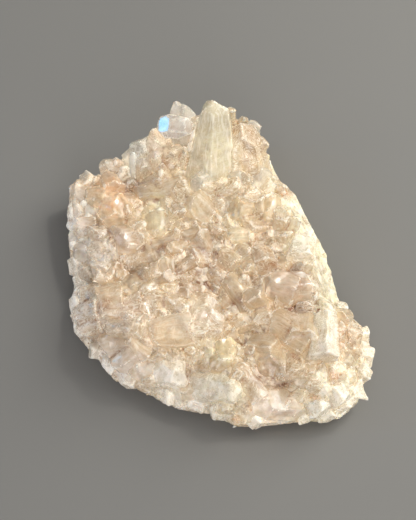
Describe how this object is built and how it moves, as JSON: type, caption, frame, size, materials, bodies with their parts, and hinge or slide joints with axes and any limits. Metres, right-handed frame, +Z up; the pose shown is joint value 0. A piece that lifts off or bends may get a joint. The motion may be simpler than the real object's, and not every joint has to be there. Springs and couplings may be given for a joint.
{
  "type": "quartz cluster",
  "caption": "Hand-size cluster of intergrown clear and milky quartz crystals on massive quartz, with taller points at the rear and a flat underside to rest on.",
  "frame": {"origin": "centre of the bounding box's base, at the level of the flat underside", "axes": "+Z up from the underside, through the thickness of the cluster; +Y to the rear, where the tall points stand; +X to the right"},
  "size_m": [0.1246, 0.1306, 0.0548],
  "materials": {
    "quartz": "natural crystal faces, part clear and part milky"
  },
  "bodies": {
    "root": {"quartz_cluster": "quartz"}
  },
  "joints": []
}
